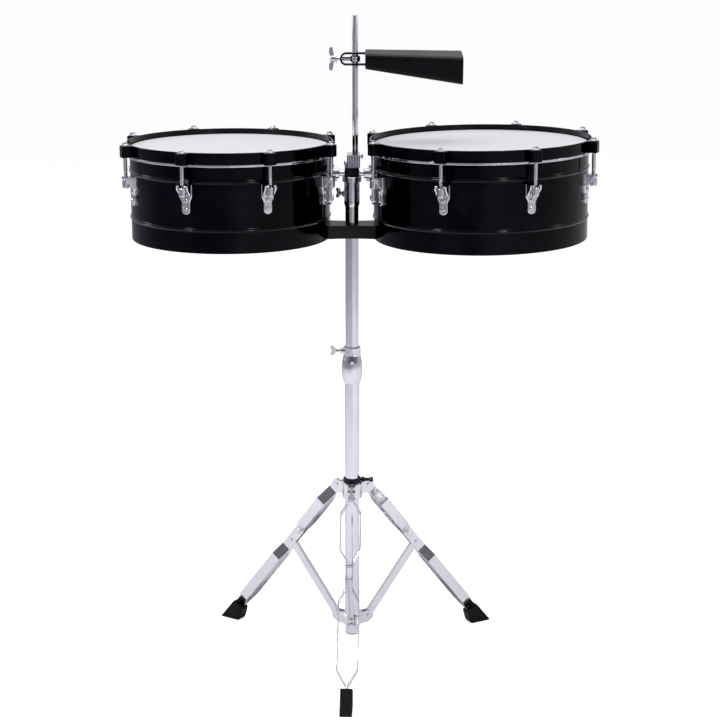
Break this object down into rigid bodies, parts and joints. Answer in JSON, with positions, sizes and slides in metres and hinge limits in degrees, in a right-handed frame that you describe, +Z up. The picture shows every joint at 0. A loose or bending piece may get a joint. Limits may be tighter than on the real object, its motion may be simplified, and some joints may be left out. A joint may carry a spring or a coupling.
{
  "type": "timbales",
  "caption": "Pair of shallow metal drums, open below, on one post with a cowbell above them, carried by a folding tripod stand with a sliding height tube.",
  "frame": {"origin": "on the floor, under the axis of the stand's tube, with the feet resting on Z = 0", "axes": "+Z up along the stand's tube, -Y towards the front, where the front leg points, +X towards the larger drum"},
  "size_m": [0.7793, 0.4693, 1.105],
  "materials": {
    "tube_chrome": "bright chrome plate",
    "strip_chrome": "bright chrome plate on strip steel",
    "cast_chrome": "chrome plate on a casting",
    "screw_chrome": "chrome plated fasteners",
    "lug_chrome": "bright chrome plate",
    "black_lacquer": "gloss black lacquer",
    "black_paint": "satin black paint",
    "bell_black": "satin black powder coat",
    "head_film": "coated white film",
    "black_nylon": "moulded nylon",
    "boot_rubber": "moulded rubber"
  },
  "bodies": {
    "stand_base": {"lower_tube": "tube_chrome", "tube_plug": "black_nylon", "lower_bracket": "cast_chrome", "bracket_rivets": "screw_chrome", "height_collar": "cast_chrome", "collar_bush": "black_nylon", "collar_screws": "screw_chrome"},
    "leg_hub": {"leg_hub": "cast_chrome", "hub_rivets": "screw_chrome", "hub_ring": "black_nylon"},
    "hub_clamp_bolt": {"hub_clamp_bolt": "black_paint"},
    "height_wing_bolt": {"height_wing_bolt": "screw_chrome"},
    "post": {"upper_tube": "tube_chrome"},
    "post_wing_bolt": {"post_wing_bolt": "screw_chrome"},
    "drum_carrier": {"mount_sleeve": "cast_chrome", "clamp_casting": "black_paint", "cross_rod": "tube_chrome", "rod_clamp_block": "cast_chrome", "block_screws": "screw_chrome", "yoke": "black_paint", "yoke_bolts": "black_paint", "left_shell": "black_lacquer", "left_head_film": "head_film", "left_flesh_hoop": "lug_chrome", "left_counterhoop": "black_lacquer", "left_lugs": "lug_chrome", "left_lug_screws": "lug_chrome", "left_swivel_nuts": "lug_chrome", "left_tension_rods": "lug_chrome", "left_rod_washers": "lug_chrome", "left_mount_bracket": "cast_chrome", "left_mount_screws": "screw_chrome", "right_shell": "black_lacquer", "right_head_film": "head_film", "right_flesh_hoop": "lug_chrome", "right_counterhoop": "black_lacquer", "right_lugs": "lug_chrome", "right_lug_screws": "lug_chrome", "right_swivel_nuts": "lug_chrome", "right_tension_rods": "lug_chrome", "right_rod_washers": "lug_chrome", "right_mount_bracket": "cast_chrome", "right_mount_screws": "screw_chrome"},
    "bell_rod": {"cowbell_rod": "tube_chrome"},
    "cowbell": {"cowbell_body": "bell_black", "cowbell_strap": "bell_black", "cowbell_eye_bolt": "screw_chrome"},
    "cowbell_wing_nut": {"cowbell_wing_nut": "screw_chrome"},
    "leg_front": {"leg_front_strips": "strip_chrome", "leg_front_rivets": "screw_chrome", "foot_front": "boot_rubber"},
    "strut_front": {"strut_front": "strip_chrome"},
    "leg_left": {"leg_left_strips": "strip_chrome", "leg_left_rivets": "screw_chrome", "foot_left": "boot_rubber"},
    "strut_left": {"strut_left": "strip_chrome"},
    "leg_right": {"leg_right_strips": "strip_chrome", "leg_right_rivets": "screw_chrome", "foot_right": "boot_rubber"},
    "strut_right": {"strut_right": "strip_chrome"}
  },
  "joints": [
    {"name": "strut_front_fold", "type": "hinge", "parent": "stand_base", "child": "strut_front", "pos_m": [-0.00105, -0.02998, 0.056], "axis": [-0.9994, 0.0349, 0], "range_deg": [0, 36]},
    {"name": "leg_front_fold", "type": "hinge", "parent": "strut_front", "child": "leg_front", "pos_m": [-0.00443, -0.12671, 0.178], "axis": [0.9994, -0.0349, 0], "range_deg": [0, 72]},
    {"name": "hub_fold", "type": "hinge", "parent": "leg_front", "child": "leg_hub", "pos_m": [-0.00105, -0.02998, 0.3], "axis": [-0.9994, 0.0349, 0], "range_deg": [0, 36]},
    {"name": "leg_left_fold", "type": "hinge", "parent": "leg_hub", "child": "leg_left", "pos_m": [-0.02544, 0.0159, 0.3], "axis": [-0.5299, -0.848, 0], "range_deg": [0, 36]},
    {"name": "strut_left_fold", "type": "hinge", "parent": "stand_base", "child": "strut_left", "pos_m": [-0.02544, 0.0159, 0.056], "axis": [0.5299, 0.848, 0], "range_deg": [0, 36]},
    {"name": "leg_right_fold", "type": "hinge", "parent": "leg_hub", "child": "leg_right", "pos_m": [0.02649, 0.01408, 0.3], "axis": [-0.4695, 0.8829, 0], "range_deg": [0, 36]},
    {"name": "strut_right_fold", "type": "hinge", "parent": "stand_base", "child": "strut_right", "pos_m": [0.02649, 0.01408, 0.056], "axis": [0.4695, -0.8829, 0], "range_deg": [0, 36]},
    {"name": "height_slide", "type": "slide", "parent": "stand_base", "child": "post", "axis": [0, 0, 1], "range_m": [-0.18, 0.2]},
    {"name": "drum_swivel", "type": "hinge", "parent": "post", "child": "drum_carrier", "pos_m": [0, 0, 0.8], "axis": [0, 0, 1], "continuous": true},
    {"name": "bell_rod_slide", "type": "slide", "parent": "drum_carrier", "child": "bell_rod", "axis": [0, 0, 1], "range_m": [-0.02, 0.06]},
    {"name": "cowbell_swivel", "type": "hinge", "parent": "bell_rod", "child": "cowbell", "pos_m": [0.0055, 0.0215, 1.03325], "axis": [0, 0, 1], "continuous": true},
    {"name": "wing_nut_turn", "type": "hinge", "parent": "cowbell", "child": "cowbell_wing_nut", "pos_m": [-0.03, 0.0215, 1.03325], "axis": [1, 0, 0], "continuous": true},
    {"name": "height_bolt_turn", "type": "hinge", "parent": "stand_base", "child": "height_wing_bolt", "pos_m": [-0.02, 0, 0.5435], "axis": [1, 0, 0], "continuous": true},
    {"name": "hub_bolt_turn", "type": "hinge", "parent": "leg_hub", "child": "hub_clamp_bolt", "pos_m": [0.02, 0, 0.31325], "axis": [1, 0, 0], "continuous": true},
    {"name": "post_bolt_turn", "type": "hinge", "parent": "drum_carrier", "child": "post_wing_bolt", "pos_m": [-0.01402, 0.01426, 0.811], "axis": [-0.7009, 0.7133, 0], "continuous": true}
  ],
  "couplings": [
    {"joint": "leg_front_fold", "follows": "strut_front_fold", "ratio": 2},
    {"joint": "hub_fold", "follows": "strut_front_fold", "ratio": 1},
    {"joint": "leg_left_fold", "follows": "strut_front_fold", "ratio": 1},
    {"joint": "leg_right_fold", "follows": "strut_front_fold", "ratio": 1},
    {"joint": "strut_left_fold", "follows": "strut_front_fold", "ratio": 1},
    {"joint": "strut_right_fold", "follows": "strut_front_fold", "ratio": 1}
  ]
}
